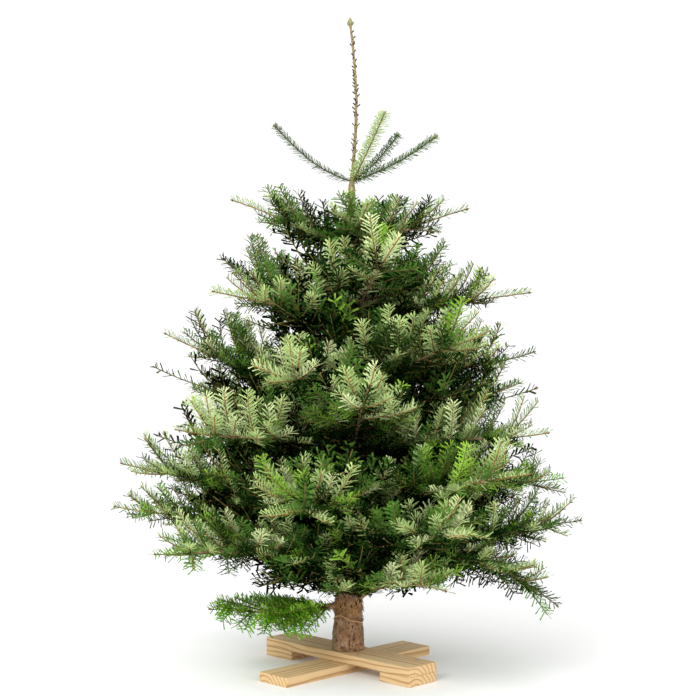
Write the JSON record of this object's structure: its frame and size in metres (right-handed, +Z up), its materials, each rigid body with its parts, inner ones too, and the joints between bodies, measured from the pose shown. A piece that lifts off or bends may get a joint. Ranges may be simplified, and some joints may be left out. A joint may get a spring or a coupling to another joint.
{
  "type": "cut christmas tree on a wooden cross stand",
  "caption": "Undecorated cut fir with a flat-cut flared trunk, rings of needled boughs and a bare leader, standing on a plain crossed-board stand.",
  "frame": {"origin": "on the floor, under the crossing of the stand's boards and the middle of the trunk's flat cut", "axes": "+Z up the trunk; the tree is seen from -Y with +X to the right, and the boards lie at 45 degrees to X and Y"},
  "size_m": [1.1173, 1.1174, 1.5444],
  "materials": {
    "bark": "rough grey-brown bark",
    "needles": "two-toned needles, dark green above and silvery beneath",
    "timber": "sawn pale softwood"
  },
  "bodies": {
    "root": {"ring1_1_bough": "bark", "ring1_1_needles": "needles", "ring1_2_bough": "bark", "ring1_2_needles": "needles", "ring1_3_bough": "bark", "ring1_3_needles": "needles", "ring1_4_bough": "bark", "ring1_4_needles": "needles", "ring2_1_bough": "bark", "ring2_1_needles": "needles", "ring2_2_bough": "bark", "ring2_2_needles": "needles", "ring2_3_bough": "bark", "ring2_3_needles": "needles", "ring2_4_bough": "bark", "ring2_4_needles": "needles", "ring2_5_bough": "bark", "ring2_5_needles": "needles", "ring2_6_bough": "bark", "ring2_6_needles": "needles", "ring3_1_needles": "needles", "ring3_2_needles": "needles", "ring3_3_needles": "needles", "ring3_4_needles": "needles", "ring3_5_needles": "needles", "ring3_6_needles": "needles", "ring4_1_needles": "needles", "ring4_2_needles": "needles", "ring4_3_needles": "needles", "ring4_4_needles": "needles", "ring4_5_needles": "needles", "ring4_6_needles": "needles", "ring5_1_needles": "needles", "ring5_2_needles": "needles", "ring5_3_needles": "needles", "ring5_4_needles": "needles", "ring5_5_needles": "needles", "ring5_6_needles": "needles", "ring6_1_needles": "needles", "ring6_2_needles": "needles", "ring6_3_needles": "needles", "ring6_4_needles": "needles", "ring6_5_needles": "needles", "ring6_6_needles": "needles", "ring7_1_bough": "bark", "ring7_1_needles": "needles", "ring7_2_needles": "needles", "ring7_3_needles": "needles", "ring7_4_needles": "needles", "ring7_5_bough": "bark", "ring7_5_needles": "needles", "ring8_1_needles": "needles", "ring8_2_needles": "needles", "ring8_3_needles": "needles", "ring8_4_needles": "needles", "stand_back_block": "timber", "stand_front_block": "timber", "stand_lower_board": "timber", "stand_upper_board": "timber", "trunk": "bark"}
  },
  "joints": []
}
